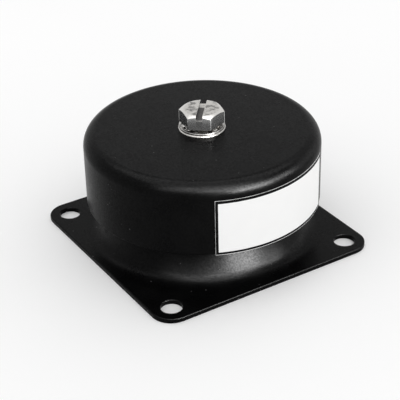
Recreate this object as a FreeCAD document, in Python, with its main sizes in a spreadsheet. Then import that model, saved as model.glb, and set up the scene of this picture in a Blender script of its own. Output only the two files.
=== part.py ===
import FreeCAD, Part
import os
import Sketcher

# Metal-cased vibration isolator: a bell-shaped cap on a bonded rubber spring,
# inside a drawn housing with a square foot. All sizes are in millimetres.
# The origin is the centre of the foot's underside, with +Z up.

os.makedirs("parts", exist_ok=True)

SIZES = {
    # housing: square foot, leaning wall, neck and lip drawn from one sheet
    "foot_side": 62.6,
    "foot_corner_radius": 5.4,
    "foot_hole_count": 4,
    "foot_hole_edge_distance": 5.3,
    "foot_hole_diameter": 5.4,
    "flare_edge_margin": 2.1,
    "housing_sheet": 1.2,
    "housing_rise": 22.0,
    "wall_lean_angle": 28.5,
    "wall_length": 5.25,
    "neck_bend_radius": 4.0,
    "neck_radius": 22.0,
    "lip_bend_radius": 2.5,
    "lip_width": 4.9,
    # steel sleeve round the rubber, pressed into the neck
    "sleeve_wall": 1.2,
    "sleeve_length": 8.0,
    "sleeve_flange_width": 1.65,
    "press_gap": 0.05,
    # retainer plate pressed in below the sleeve
    "retainer_sheet": 1.2,
    "retainer_skirt": 3.6,
    "retainer_bend_radius": 1.4,
    "retainer_bore_radius": 13.0,
    # working travel of the suspended parts
    "bump_travel": 3.5,
    "rebound_travel": 2.0,
    "stop_clearance": 0.3,
    # bump ring on the lip
    "bump_ring_depth": 3.5,
    "bump_ring_width": 3.0,
    "bump_ring_bevel": 0.8,
    # turned core in the middle
    "spigot_radius": 6.0,
    "core_shoulder_width": 1.0,
    "core_head_overhang": 2.0,
    "core_head_thickness": 2.5,
    "core_chamfer": 0.5,
    "spigot_end": 0.8,
    # bonded rubber between the core and the sleeve
    "bond_film": 0.1,
    "rubber_sleeve_margin": 0.4,
    "rubber_core_length": 14.0,
    "rubber_waist_radius": 11.0,
    # rebound washer and its rubber pad, kept on the spigot by a snap ring
    "rebound_overlap": 3.0,
    "rebound_washer_thickness": 1.5,
    "spigot_fit": 0.05,
    "pad_thickness": 1.5,
    "pad_core_clearance": 1.6,
    "pad_edge_margin": 0.5,
    "snap_ring_thickness": 1.0,
    "snap_groove_fit": 0.05,
    "snap_groove_depth": 0.3,
    "snap_ring_band": 1.1,
    "snap_ring_offset": 0.35,
    "snap_ring_gap": 1.8,
    "snap_lug_radius": 1.3,
    "snap_lug_hole_diameter": 1.2,
    # bell-shaped cap
    "skirt_clearance": 6.8,
    "cap_sheet": 1.2,
    "cap_depth": 18.75,
    "cap_edge_radius": 3.5,
    "clearance_hole_diameter": 6.4,
    # label on the side of the cap
    "label_start_angle": -27.1,
    "label_sweep_angle": 69.6,
    "label_thickness": 0.15,
    "label_width": 14.95,
    "label_edge_margin": 0.05,
    "label_glue": 0.03,
    # screw fastening: thread, bolt and its two washers
    "thread_diameter": 6.0,
    "thread_fit": 0.05,
    "bolt_length": 16.0,
    "bolt_end_chamfer": 0.8,
    "bolt_turn_angle": -40.1,
    "head_across_flats": 10.0,
    "head_thickness": 4.0,
    "head_crown_radius": 4.3,
    "head_chamfer_angle": 30.0,
    "slot_width": 1.6,
    "slot_depth": 1.5,
    "washer_diameter": 12.0,
    "washer_thickness": 0.5,
    "washer_bevel": 0.2,
    "tooth_count": 12,
    "tooth_width": 1.27,
    "tooth_twist_angle": 32.5,
    "tooth_turn_angle": -22.0,
    "tooth_sheet": 0.5,
    "tooth_ring_diameter": 11.6,
    "tooth_ring_width": 0.7,
    "tooth_root_overlap": 0.1,
}

doc = FreeCAD.newDocument("vibration_isolator")
sheet = doc.addObject("Spreadsheet::Sheet", "Sizes")
for row, (alias, size) in enumerate(SIZES.items(), start=1):
    sheet.set(f"A{row}", alias)
    sheet.set(f"B{row}", str(size))
    sheet.setAlias(f"B{row}", alias)
doc.recompute()

# Levels and radii that several pieces share, as formulas over the size sheet.
NECK_BORE = "(Sizes.neck_radius - Sizes.housing_sheet)"
FLARE_RIM = "(Sizes.foot_side / 2 - Sizes.flare_edge_margin)"
LEAN_ACROSS = "cos(Sizes.wall_lean_angle)"
LEAN_UP = "sin(Sizes.wall_lean_angle)"
WALL_REACH = f"(Sizes.wall_length * {LEAN_UP})"
NECK_BEND_REACH = f"(Sizes.neck_bend_radius * (1 - {LEAN_ACROSS}))"
FLARE_RADIUS = (
    f"(({FLARE_RIM} - Sizes.neck_radius - {WALL_REACH} - {NECK_BEND_REACH}) / {LEAN_ACROSS})"
)
FLARE_CENTRE_LEVEL = f"(Sizes.housing_sheet + {FLARE_RADIUS})"
NECK_BEND_CENTRE = "(Sizes.neck_radius + Sizes.neck_bend_radius)"
NECK_BEND_LEVEL = (
    f"({FLARE_CENTRE_LEVEL} - {FLARE_RADIUS} * {LEAN_UP}"
    f" + Sizes.wall_length * {LEAN_ACROSS} + Sizes.neck_bend_radius * {LEAN_UP})"
)
LIP_UNDERSIDE = "(Sizes.housing_rise - Sizes.housing_sheet)"
LIP_BEND_CENTRE = "(Sizes.neck_radius - Sizes.lip_bend_radius)"
LIP_BORE = "(Sizes.neck_radius - Sizes.lip_width)"
PRESSED_RADIUS = f"({NECK_BORE} - Sizes.press_gap)"
SLEEVE_BORE = f"({PRESSED_RADIUS} - Sizes.sleeve_wall)"
SLEEVE_BOTTOM = f"({LIP_UNDERSIDE} - Sizes.sleeve_length)"
RETAINER_UNDERSIDE = f"({SLEEVE_BOTTOM} - Sizes.retainer_sheet)"
CAP_UNDERSIDE = (
    "(Sizes.housing_rise + Sizes.bump_ring_depth"
    " + Sizes.bump_travel + Sizes.stop_clearance)"
)
CAP_TOP = f"({CAP_UNDERSIDE} + Sizes.cap_sheet)"
CAP_RIM = f"({CAP_TOP} - Sizes.cap_depth)"
CAP_BORE = "(Sizes.neck_radius + Sizes.skirt_clearance)"
CAP_RADIUS = f"({CAP_BORE} + Sizes.cap_sheet)"
CORE_RADIUS = "(Sizes.spigot_radius + Sizes.core_shoulder_width)"
CORE_HEAD_RADIUS = f"({CORE_RADIUS} + Sizes.core_head_overhang)"
CORE_HEAD_UNDERSIDE = f"({CAP_UNDERSIDE} - Sizes.core_head_thickness)"
REBOUND_WASHER_RADIUS = "(Sizes.retainer_bore_radius + Sizes.rebound_overlap)"
PAD_TOP = f"({RETAINER_UNDERSIDE} - Sizes.rebound_travel - Sizes.stop_clearance)"
SHOULDER = f"({PAD_TOP} - Sizes.pad_thickness)"
SNAP_RING_TOP = f"({SHOULDER} - Sizes.rebound_washer_thickness)"
SNAP_GROOVE_BOTTOM = f"({SNAP_RING_TOP} - Sizes.snap_ring_thickness - Sizes.snap_groove_fit)"
CORE_BOTTOM = f"({SNAP_GROOVE_BOTTOM} - Sizes.spigot_end)"
SNAP_GROOVE_RADIUS = "(Sizes.spigot_radius - Sizes.snap_groove_depth)"
WASHER_TOP = f"({CAP_TOP} + Sizes.washer_thickness)"
TOOTHED_HEIGHT = (
    "(Sizes.tooth_width * sin(Sizes.tooth_twist_angle)"
    " + Sizes.tooth_sheet * cos(Sizes.tooth_twist_angle))"
)
HEAD_UNDERSIDE = f"({WASHER_TOP} + {TOOTHED_HEIGHT})"
THREAD_RADIUS = "(Sizes.thread_diameter / 2)"
TAPPED_RADIUS = f"({THREAD_RADIUS} + Sizes.thread_fit)"
CLEARANCE_RADIUS = "(Sizes.clearance_hole_diameter / 2)"
HEAD_CORNER_COUNT = 6
HEAD_CORNER_STEP = 360 // HEAD_CORNER_COUNT
HEAD_FIRST_CORNER = HEAD_CORNER_STEP // 2
HEAD_CORNER = f"(Sizes.head_across_flats / 2 / cos({HEAD_FIRST_CORNER}))"


def reading(formula):
    """Return the number that a formula over the size sheet gives now."""
    return float(sheet.evalExpression(formula))


def new_body(name, level="0"):
    """Start a body whose Label names its file, seated at a level above the foot."""
    body = doc.addObject("PartDesign::Body", name)
    body.Label = name
    body.setExpression("Placement.Base.z", level)
    return body


def turn_about_axis(body, angle):
    """Turn a body about the Z axis by an angle that follows the size sheet."""
    body.Placement.Rotation = FreeCAD.Rotation(FreeCAD.Vector(0, 0, 1), 0)
    body.setExpression("Placement.Rotation.Angle", angle)


def origin_feature(body, role):
    """Return the plane or axis of a body's own origin that has the given role."""
    for feature in body.Origin.OriginFeatures:
        if feature.Role == role:
            return feature
    raise LookupError(role)


def new_sketch(body, name, role):
    """Start a sketch on one of the body's own origin planes."""
    sketch = body.newObject("Sketcher::SketchObject", name)
    sketch.AttachmentSupport = [(origin_feature(body, role), "")]
    sketch.MapMode = "FlatFace"
    return sketch


def bind(sketch, kind, places, formula):
    """Add a sketch constraint that follows a formula over the size sheet."""
    index = sketch.addConstraint(Sketcher.Constraint(kind, *places, reading(formula)))
    sketch.setExpression(f"Constraints[{index}]", formula)


def arc_between(start, end, radius, turn):
    """Return the shorter arc from start to end; turn is +1 anticlockwise, -1 clockwise."""
    chord = end - start
    middle = (start + end) * 0.5
    reach = (radius**2 - (chord.Length / 2) ** 2) ** 0.5
    side = FreeCAD.Vector(-chord.y, chord.x, 0).normalize() * (reach * turn)
    centre = middle + side
    circle = Part.Circle(centre, FreeCAD.Vector(0, 0, 1), radius)
    first, last = (start, end) if turn > 0 else (end, start)
    return Part.ArcOfCircle(circle, circle.parameter(first), circle.parameter(last))


def draw_outline(sketch, steps):
    """Draw a closed outline with every corner and arc bound to the size sheet.

    A step is (across, up) for a corner that a straight line reaches, or
    (across, up, radius, turn) for one that an arc reaches.
    """
    origin = -1
    point_start, point_end = 1, 2
    first_edge = sketch.GeometryCount
    corners = [FreeCAD.Vector(reading(step[0]), reading(step[1]), 0) for step in steps]
    ends = []
    for number, step in enumerate(steps):
        start, end = corners[number - 1], corners[number]
        if len(step) == 2:
            sketch.addGeometry(Part.LineSegment(start, end))
            ends.append((point_start, point_end))
        else:
            sketch.addGeometry(arc_between(start, end, reading(step[2]), step[3]))
            ends.append((point_start, point_end) if step[3] > 0 else (point_end, point_start))
    for number, step in enumerate(steps):
        edge = first_edge + number
        following = (number + 1) % len(steps)
        sketch.addConstraint(
            Sketcher.Constraint(
                "Coincident", edge, ends[number][1], first_edge + following, ends[following][0]
            )
        )
        bind(sketch, "DistanceX", (origin, point_start, edge, ends[number][1]), step[0])
        bind(sketch, "DistanceY", (origin, point_start, edge, ends[number][1]), step[1])
        if len(step) == 4:
            bind(sketch, "Radius", (edge,), step[2])


def draw_circle(sketch, across, up, radius):
    """Draw a circle whose centre and radius are bound to the size sheet."""
    origin = -1
    point_start, point_centre = 1, 3
    centre = FreeCAD.Vector(reading(across), reading(up), 0)
    circle = Part.Circle(centre, FreeCAD.Vector(0, 0, 1), reading(radius))
    edge = sketch.addGeometry(circle)
    bind(sketch, "DistanceX", (origin, point_start, edge, point_centre), across)
    bind(sketch, "DistanceY", (origin, point_start, edge, point_centre), up)
    bind(sketch, "Radius", (edge,), radius)


def pad(body, name, sketch, depth, downward=False, midplane=False):
    """Add the prism of a sketch to the body."""
    feature = body.newObject("PartDesign::Pad", name)
    feature.Profile = sketch
    feature.Midplane = midplane
    feature.Reversed = downward
    feature.setExpression("Length", depth)
    return feature


def pocket(body, name, sketch, depth, upward=False):
    """Cut the prism of a sketch out of the body."""
    feature = body.newObject("PartDesign::Pocket", name)
    feature.Profile = sketch
    feature.Reversed = upward
    feature.setExpression("Length", depth)
    return feature


def revolve(body, name, outline, kind="PartDesign::Revolution", angle="360"):
    """Turn an outline, given in the radius and height plane, about the Z axis."""
    sketch = new_sketch(body, name + "_outline", "XZ_Plane")
    draw_outline(sketch, outline)
    feature = body.newObject(kind, name)
    feature.Profile = sketch
    feature.ReferenceAxis = (sketch, ["V_Axis"])
    feature.setExpression("Angle", angle)
    return feature


def polar_copies(body, name, feature, count):
    """Repeat a feature of the body round the Z axis."""
    pattern = body.newObject("PartDesign::PolarPattern", name)
    pattern.Originals = [feature]
    pattern.Axis = (origin_feature(body, "Z_Axis"), [""])
    pattern.Angle = 360
    pattern.setExpression("Occurrences", count)
    body.Tip = pattern
    return pattern


def rounded_square(sketch, half_side, corner_radius):
    """Draw a square with rounded corners about the sketch's origin."""
    flat_end = f"({half_side} - {corner_radius})"
    steps = []
    for across_sign, up_sign in ((1, 1), (-1, 1), (-1, -1), (1, -1)):
        side_end = (f"{across_sign} * {half_side}", f"{up_sign} * {flat_end}")
        top_end = (f"{across_sign} * {flat_end}", f"{up_sign} * {half_side}")
        first, last = (side_end, top_end) if across_sign == up_sign else (top_end, side_end)
        steps.append(first)
        steps.append((*last, corner_radius, 1))
    draw_outline(sketch, steps)


def leaning_point(centre_across, centre_up, radius):
    """Return where a bend about a centre meets the leaning wall."""
    across = f"{centre_across} - {radius} * {LEAN_ACROSS}"
    up = f"{centre_up} - {radius} * {LEAN_UP}"
    return across, up


def make_base_housing():
    """Square foot, flare, leaning wall, neck and inward lip, drawn as one sheet."""
    body = new_body("base_housing")
    foot_sketch = new_sketch(body, "foot_outline", "XY_Plane")
    rounded_square(foot_sketch, "Sizes.foot_side / 2", "Sizes.foot_corner_radius")
    draw_circle(foot_sketch, "0", "0", FLARE_RIM)
    pad(body, "foot", foot_sketch, "Sizes.housing_sheet")

    lip_bend_level = "(Sizes.housing_rise - Sizes.lip_bend_radius)"
    inner_bend = "(Sizes.lip_bend_radius - Sizes.housing_sheet)"
    flare_underside = f"({FLARE_RADIUS} + Sizes.housing_sheet)"
    neck_bend_inside = "(Sizes.neck_bend_radius + Sizes.housing_sheet)"
    revolve(
        body,
        "drawn_neck",
        [
            (NECK_BORE, NECK_BEND_LEVEL),
            (*leaning_point(NECK_BEND_CENTRE, NECK_BEND_LEVEL, neck_bend_inside),
             neck_bend_inside, 1),
            leaning_point(FLARE_RIM, FLARE_CENTRE_LEVEL, flare_underside),
            (FLARE_RIM, "0", flare_underside, 1),
            (FLARE_RIM, "Sizes.housing_sheet"),
            (*leaning_point(FLARE_RIM, FLARE_CENTRE_LEVEL, FLARE_RADIUS), FLARE_RADIUS, -1),
            leaning_point(NECK_BEND_CENTRE, NECK_BEND_LEVEL, "Sizes.neck_bend_radius"),
            ("Sizes.neck_radius", NECK_BEND_LEVEL, "Sizes.neck_bend_radius", -1),
            ("Sizes.neck_radius", lip_bend_level),
            (LIP_BEND_CENTRE, "Sizes.housing_rise", "Sizes.lip_bend_radius", 1),
            (LIP_BORE, "Sizes.housing_rise"),
            (LIP_BORE, LIP_UNDERSIDE),
            (LIP_BEND_CENTRE, LIP_UNDERSIDE),
            (NECK_BORE, lip_bend_level, inner_bend, -1),
        ],
    )

    hole_sketch = new_sketch(body, "foot_hole_circle", "XY_Plane")
    half_spacing = "Sizes.foot_side / 2 - Sizes.foot_hole_edge_distance"
    draw_circle(hole_sketch, half_spacing, half_spacing, "Sizes.foot_hole_diameter / 2")
    hole = pocket(body, "foot_hole", hole_sketch, "Sizes.housing_sheet", upward=True)
    polar_copies(body, "foot_holes", hole, "Sizes.foot_hole_count")
    return body


def make_outer_sleeve():
    """Flanged steel ring that the rubber is bonded into, seated under the lip."""
    body = new_body("outer_sleeve", LIP_UNDERSIDE)
    bend = "(Sizes.lip_bend_radius - Sizes.housing_sheet + Sizes.press_gap)"
    flange_bore = f"({SLEEVE_BORE} - Sizes.sleeve_flange_width)"
    flange_underside = "-Sizes.sleeve_wall"
    revolve(
        body,
        "flanged_ring",
        [
            (SLEEVE_BORE, "-Sizes.sleeve_length"),
            (PRESSED_RADIUS, "-Sizes.sleeve_length"),
            (PRESSED_RADIUS, f"-{bend}"),
            (f"{PRESSED_RADIUS} - {bend}", "0", bend, 1),
            (flange_bore, "0"),
            (flange_bore, flange_underside),
            (SLEEVE_BORE, flange_underside),
        ],
    )
    return body


def make_retainer_plate():
    """Skirted ring pressed into the neck, which closes the housing from below."""
    body = new_body("retainer_plate", SLEEVE_BOTTOM)
    bend = "Sizes.retainer_bend_radius"
    inner_bend = "(Sizes.retainer_bend_radius - Sizes.retainer_sheet)"
    skirt_bore = f"({PRESSED_RADIUS} - Sizes.retainer_sheet)"
    revolve(
        body,
        "skirted_ring",
        [
            ("Sizes.retainer_bore_radius", "-Sizes.retainer_sheet"),
            (f"{skirt_bore} - {inner_bend}", "-Sizes.retainer_sheet"),
            (skirt_bore, f"-{bend}", inner_bend, -1),
            (skirt_bore, "-Sizes.retainer_skirt"),
            (PRESSED_RADIUS, "-Sizes.retainer_skirt"),
            (PRESSED_RADIUS, f"-{bend}"),
            (f"{PRESSED_RADIUS} - {bend}", "0", bend, 1),
            ("Sizes.retainer_bore_radius", "0"),
        ],
    )
    return body


def make_bump_ring():
    """Bevelled rubber ring on the lip, which the cap lands on at full bump."""
    body = new_body("bump_ring", "Sizes.housing_rise")
    inner = LIP_BORE
    outer = f"({LIP_BORE} + Sizes.bump_ring_width)"
    top = "Sizes.bump_ring_depth"
    bevel = "Sizes.bump_ring_bevel"
    revolve(
        body,
        "bevelled_ring",
        [
            (inner, "0"),
            (outer, "0"),
            (outer, f"{top} - {bevel}"),
            (f"{outer} - {bevel}", top),
            (f"{inner} + {bevel}", top),
            (inner, f"{top} - {bevel}"),
        ],
    )
    return body


def make_rubber_spring():
    """Waisted rubber ring bonded between the core and the sleeve."""
    body = new_body("rubber_spring")
    inner = f"({CORE_RADIUS} + Sizes.bond_film)"
    outer = f"({SLEEVE_BORE} - Sizes.bond_film)"
    core_end = f"({CORE_HEAD_UNDERSIDE} - Sizes.bond_film)"
    sleeve_top = f"({LIP_UNDERSIDE} - Sizes.sleeve_wall - Sizes.rubber_sleeve_margin)"
    sleeve_end = f"({SLEEVE_BOTTOM} + Sizes.rubber_sleeve_margin)"
    waist = "Sizes.rubber_waist_radius"
    revolve(
        body,
        "waisted_ring",
        [
            (inner, f"{core_end} - Sizes.rubber_core_length"),
            (outer, sleeve_end, waist, -1),
            (outer, sleeve_top),
            (CORE_HEAD_RADIUS, core_end, waist, -1),
            (inner, core_end),
        ],
    )
    return body


def make_core():
    """Turned core: broad head under the cap, tapped bore, spigot with a groove."""
    body = new_body("core", CAP_UNDERSIDE)
    head = CORE_HEAD_RADIUS
    bevel = "Sizes.core_chamfer"
    shoulder = f"({SHOULDER} - {CAP_UNDERSIDE})"
    end = f"({CORE_BOTTOM} - {CAP_UNDERSIDE})"
    revolve(
        body,
        "turned_bar",
        [
            (TAPPED_RADIUS, "0"),
            (TAPPED_RADIUS, end),
            (f"Sizes.spigot_radius - {bevel}", end),
            ("Sizes.spigot_radius", f"{end} + {bevel}"),
            ("Sizes.spigot_radius", shoulder),
            (CORE_RADIUS, shoulder),
            (CORE_RADIUS, "-Sizes.core_head_thickness"),
            (head, "-Sizes.core_head_thickness"),
            (head, f"-{bevel}"),
            (f"{head} - {bevel}", "0"),
        ],
    )
    groove_top = f"({SNAP_RING_TOP} - {CAP_UNDERSIDE})"
    groove_bottom = f"({SNAP_GROOVE_BOTTOM} - {CAP_UNDERSIDE})"
    revolve(
        body,
        "snap_ring_groove",
        [
            (SNAP_GROOVE_RADIUS, groove_bottom),
            (CORE_RADIUS, groove_bottom),
            (CORE_RADIUS, groove_top),
            (SNAP_GROOVE_RADIUS, groove_top),
        ],
        kind="PartDesign::Groove",
    )
    return body


def make_rebound_washer():
    """Steel washer wider than the retainer's bore, which keeps the mount together."""
    body = new_body("rebound_washer", SHOULDER)
    disc_sketch = new_sketch(body, "disc_outline", "XY_Plane")
    draw_circle(disc_sketch, "0", "0", REBOUND_WASHER_RADIUS)
    draw_circle(disc_sketch, "0", "0", "Sizes.spigot_radius + Sizes.spigot_fit")
    pad(body, "disc", disc_sketch, "Sizes.rebound_washer_thickness", downward=True)
    return body


def make_rebound_pad():
    """Rubber ring on the rebound washer, which meets the retainer at full rebound."""
    body = new_body("rebound_pad", SHOULDER)
    ring_sketch = new_sketch(body, "ring_outline", "XY_Plane")
    draw_circle(ring_sketch, "0", "0", f"{REBOUND_WASHER_RADIUS} - Sizes.pad_edge_margin")
    draw_circle(ring_sketch, "0", "0", f"{CORE_RADIUS} + Sizes.pad_core_clearance")
    pad(body, "ring", ring_sketch, "Sizes.pad_thickness")
    return body


def make_snap_ring():
    """Open spring-steel ring with a deeper back and two eyed lugs."""
    body = new_body("snap_ring", SNAP_RING_TOP)
    bore = f"({SNAP_GROOVE_RADIUS} + Sizes.snap_groove_fit)"
    thickness = "Sizes.snap_ring_thickness"
    lug_across = f"({bore} + Sizes.snap_lug_radius)"
    lug_up = "(Sizes.snap_ring_gap / 2 + Sizes.snap_lug_radius)"

    band_sketch = new_sketch(body, "band_outline", "XY_Plane")
    draw_circle(band_sketch, "-Sizes.snap_ring_offset", "0", f"{bore} + Sizes.snap_ring_band")
    draw_circle(band_sketch, "0", "0", bore)
    pad(body, "band", band_sketch, thickness, downward=True)

    for name, side in (("upper_lug", "1"), ("lower_lug", "-1")):
        lug_sketch = new_sketch(body, name + "_outline", "XY_Plane")
        draw_circle(lug_sketch, lug_across, f"{side} * {lug_up}", "Sizes.snap_lug_radius")
        pad(body, name, lug_sketch, thickness, downward=True)

    eye_sketch = new_sketch(body, "eye_circles", "XY_Plane")
    for side in ("1", "-1"):
        draw_circle(
            eye_sketch, lug_across, f"{side} * {lug_up}", "Sizes.snap_lug_hole_diameter / 2"
        )
    pocket(body, "eyes", eye_sketch, thickness)

    gap_sketch = new_sketch(body, "gap_outline", "XY_Plane")
    far_side = f"({lug_across} + 2 * Sizes.snap_lug_radius)"
    draw_outline(
        gap_sketch,
        [
            ("0", "-Sizes.snap_ring_gap / 2"),
            (far_side, "-Sizes.snap_ring_gap / 2"),
            (far_side, "Sizes.snap_ring_gap / 2"),
            ("0", "Sizes.snap_ring_gap / 2"),
        ],
    )
    pocket(body, "gap", gap_sketch, thickness)

    bore_sketch = new_sketch(body, "bore_circle", "XY_Plane")
    draw_circle(bore_sketch, "0", "0", bore)
    pocket(body, "bore", bore_sketch, thickness)
    return body


def make_cap():
    """Bell-shaped cap pressed from one sheet, with a bolt hole in the middle."""
    body = new_body("cap", CAP_UNDERSIDE)
    outer = CAP_RADIUS
    edge = "Sizes.cap_edge_radius"
    top = "Sizes.cap_sheet"
    rim = "(Sizes.cap_sheet - Sizes.cap_depth)"
    inner_edge = "(Sizes.cap_edge_radius - Sizes.cap_sheet)"
    revolve(
        body,
        "pressed_bell",
        [
            (CAP_BORE, rim),
            (outer, rim),
            (outer, f"{top} - {edge}"),
            (f"{outer} - {edge}", top, edge, 1),
            (CLEARANCE_RADIUS, top),
            (CLEARANCE_RADIUS, "0"),
            (f"{outer} - {edge}", "0"),
            (CAP_BORE, f"{top} - {edge}", inner_edge, -1),
        ],
    )
    return body


def make_label_plate():
    """Thin label that wraps part of the cap's side."""
    body = new_body("label_plate", CAP_RIM)
    turn_about_axis(body, "Sizes.label_start_angle")
    inner = f"({CAP_RADIUS} + Sizes.label_glue)"
    outer = f"({inner} + Sizes.label_thickness)"
    bottom = "Sizes.label_edge_margin"
    top = "(Sizes.label_edge_margin + Sizes.label_width)"
    revolve(
        body,
        "wrapped_sheet",
        [(inner, bottom), (outer, bottom), (outer, top), (inner, top)],
        angle="Sizes.label_sweep_angle",
    )
    return body


def make_flat_washer():
    """Plain washer on the cap, with a bevel round its upper edge."""
    body = new_body("flat_washer", CAP_TOP)
    outer = "(Sizes.washer_diameter / 2)"
    top = "Sizes.washer_thickness"
    bevel = "Sizes.washer_bevel"
    revolve(
        body,
        "blanked_ring",
        [
            (CLEARANCE_RADIUS, "0"),
            (outer, "0"),
            (outer, f"{top} - {bevel}"),
            (f"{outer} - {bevel}", top),
            (CLEARANCE_RADIUS, top),
        ],
    )
    return body


def make_toothed_washer():
    """Lock washer: a flat ring whose inner teeth twist up under the bolt's head."""
    body = new_body("toothed_washer", WASHER_TOP)
    turn_about_axis(body, "Sizes.tooth_turn_angle")
    rim = "(Sizes.tooth_ring_diameter / 2)"
    bore = f"({rim} - Sizes.tooth_ring_width)"
    ring_sketch = new_sketch(body, "ring_outline", "XY_Plane")
    draw_circle(ring_sketch, "0", "0", rim)
    draw_circle(ring_sketch, "0", "0", bore)
    pad(body, "ring", ring_sketch, "Sizes.tooth_sheet")

    tooth_sketch = new_sketch(body, "tooth_section", "YZ_Plane")
    half_width = "(Sizes.tooth_width / 2)"
    half_sheet = "(Sizes.tooth_sheet / 2)"
    tooth_sketch.AttachmentOffset = FreeCAD.Placement(
        FreeCAD.Vector(0, 0, 0), FreeCAD.Rotation(FreeCAD.Vector(0, 0, 1), 0)
    )
    tooth_sketch.setExpression("AttachmentOffset.Base.y", f"{TOOTHED_HEIGHT} / 2")
    tooth_sketch.setExpression("AttachmentOffset.Base.z", CLEARANCE_RADIUS)
    tooth_sketch.setExpression("AttachmentOffset.Rotation.Angle", "Sizes.tooth_twist_angle")
    draw_outline(
        tooth_sketch,
        [
            (f"-{half_width}", f"-{half_sheet}"),
            (half_width, f"-{half_sheet}"),
            (half_width, half_sheet),
            (f"-{half_width}", half_sheet),
        ],
    )
    reach = f"{bore} + Sizes.tooth_root_overlap - {CLEARANCE_RADIUS}"
    tooth = pad(body, "tooth", tooth_sketch, reach)
    polar_copies(body, "teeth", tooth, "Sizes.tooth_count")
    return body


def make_hex_bolt():
    """Hex bolt with a chamfered head and a screwdriver slot across two flats."""
    body = new_body("hex_bolt", HEAD_UNDERSIDE)
    turn_about_axis(body, "Sizes.bolt_turn_angle")

    head_sketch = new_sketch(body, "head_outline", "XY_Plane")
    corner_angles = [
        HEAD_FIRST_CORNER + HEAD_CORNER_STEP * number for number in range(HEAD_CORNER_COUNT)
    ]
    draw_outline(
        head_sketch,
        [
            (f"{HEAD_CORNER} * cos({angle})", f"{HEAD_CORNER} * sin({angle})")
            for angle in corner_angles
        ],
    )
    pad(body, "head", head_sketch, "Sizes.head_thickness")

    revolve(
        body,
        "shank",
        [
            ("0", "-Sizes.bolt_length"),
            (f"{THREAD_RADIUS} - Sizes.bolt_end_chamfer", "-Sizes.bolt_length"),
            (THREAD_RADIUS, "Sizes.bolt_end_chamfer - Sizes.bolt_length"),
            (THREAD_RADIUS, "0"),
            ("0", "0"),
        ],
    )

    crown = "Sizes.head_crown_radius"
    beyond = f"(2 * {HEAD_CORNER} - {crown})"
    drop = f"(({HEAD_CORNER} - {crown}) * tan(Sizes.head_chamfer_angle))"
    revolve(
        body,
        "head_chamfer",
        [
            (crown, "Sizes.head_thickness"),
            (beyond, f"Sizes.head_thickness - 2 * {drop}"),
            (beyond, "Sizes.head_thickness"),
        ],
        kind="PartDesign::Groove",
    )

    slot_sketch = new_sketch(body, "slot_section", "YZ_Plane")
    slot_half = "(Sizes.slot_width / 2)"
    draw_outline(
        slot_sketch,
        [
            (f"-{slot_half}", "Sizes.head_thickness - Sizes.slot_depth"),
            (slot_half, "Sizes.head_thickness - Sizes.slot_depth"),
            (slot_half, "Sizes.head_thickness"),
            (f"-{slot_half}", "Sizes.head_thickness"),
        ],
    )
    slot = pocket(body, "slot", slot_sketch, "2 * Sizes.head_across_flats")
    slot.Midplane = True
    return body


MAKERS = (
    make_base_housing,
    make_outer_sleeve,
    make_retainer_plate,
    make_bump_ring,
    make_rubber_spring,
    make_core,
    make_rebound_washer,
    make_rebound_pad,
    make_snap_ring,
    make_cap,
    make_label_plate,
    make_flat_washer,
    make_toothed_washer,
    make_hex_bolt,
)

bodies = [make() for make in MAKERS]
doc.recompute()

for item in doc.Objects:
    if "Invalid" in item.State or "Error" in item.State:
        raise RuntimeError(f"{item.Label} did not rebuild: {item.State}")
for body in bodies:
    if body.Shape.isNull() or not body.Shape.isValid() or not body.Shape.Solids:
        raise RuntimeError(f"{body.Label} has no valid solid")

for body in bodies:
    body.Shape.exportStep(os.path.join("parts", body.Label + ".step"))
    box = body.Shape.BoundBox
    print(f"{body.Label}: {body.Shape.Volume:.1f} mm3, z {box.ZMin:.2f} to {box.ZMax:.2f}")
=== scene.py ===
import logging
import math
from dataclasses import dataclass
from enum import Enum
from typing import ClassVar, NamedTuple, Sequence

import bpy
from mathutils import Matrix, Vector, noise
from mathutils.geometry import delaunay_2d_cdt


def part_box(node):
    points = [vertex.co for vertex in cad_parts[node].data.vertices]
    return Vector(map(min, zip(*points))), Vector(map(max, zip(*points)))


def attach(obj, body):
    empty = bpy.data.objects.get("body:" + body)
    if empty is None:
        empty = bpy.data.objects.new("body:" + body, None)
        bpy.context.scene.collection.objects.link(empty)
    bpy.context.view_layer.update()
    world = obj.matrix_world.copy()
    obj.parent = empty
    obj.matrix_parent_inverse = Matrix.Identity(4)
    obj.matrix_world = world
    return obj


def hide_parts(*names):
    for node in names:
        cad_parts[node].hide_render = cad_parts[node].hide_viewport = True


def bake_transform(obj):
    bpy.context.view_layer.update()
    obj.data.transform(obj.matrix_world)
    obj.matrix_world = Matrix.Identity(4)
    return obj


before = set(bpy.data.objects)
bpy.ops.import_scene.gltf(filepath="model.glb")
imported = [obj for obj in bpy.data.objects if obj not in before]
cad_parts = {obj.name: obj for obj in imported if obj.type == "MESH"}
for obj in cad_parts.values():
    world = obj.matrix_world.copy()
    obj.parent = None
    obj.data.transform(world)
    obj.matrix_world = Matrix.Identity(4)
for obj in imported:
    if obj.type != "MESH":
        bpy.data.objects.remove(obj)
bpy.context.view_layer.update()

MM = 0.001
TURN = 2.0 * math.pi
UP = Vector((0.0, 0.0, 1.0))
HEX_SIDES = 6
HEX_TURN = TURN / HEX_SIDES
ARC_STEP = math.radians(9.0)
FEWEST_ARC_STEPS = 3
SHARP_ANGLE = math.radians(30.0)
LEAST_RADIUS = 1e-6
NOISE_SPREAD = (0.3, 0.7)
NOISE_MIDDLE = (0.35, 0.65)

Pair = tuple[float, float]
Triple = tuple[float, float, float]
Colour = tuple[float, float, float]
Socket = bpy.types.NodeSocket

log = logging.getLogger("anti_vibration_mount")


class Facing(Enum):
    """Which way a flat face looks."""

    UP = 1.0
    DOWN = -1.0


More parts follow.
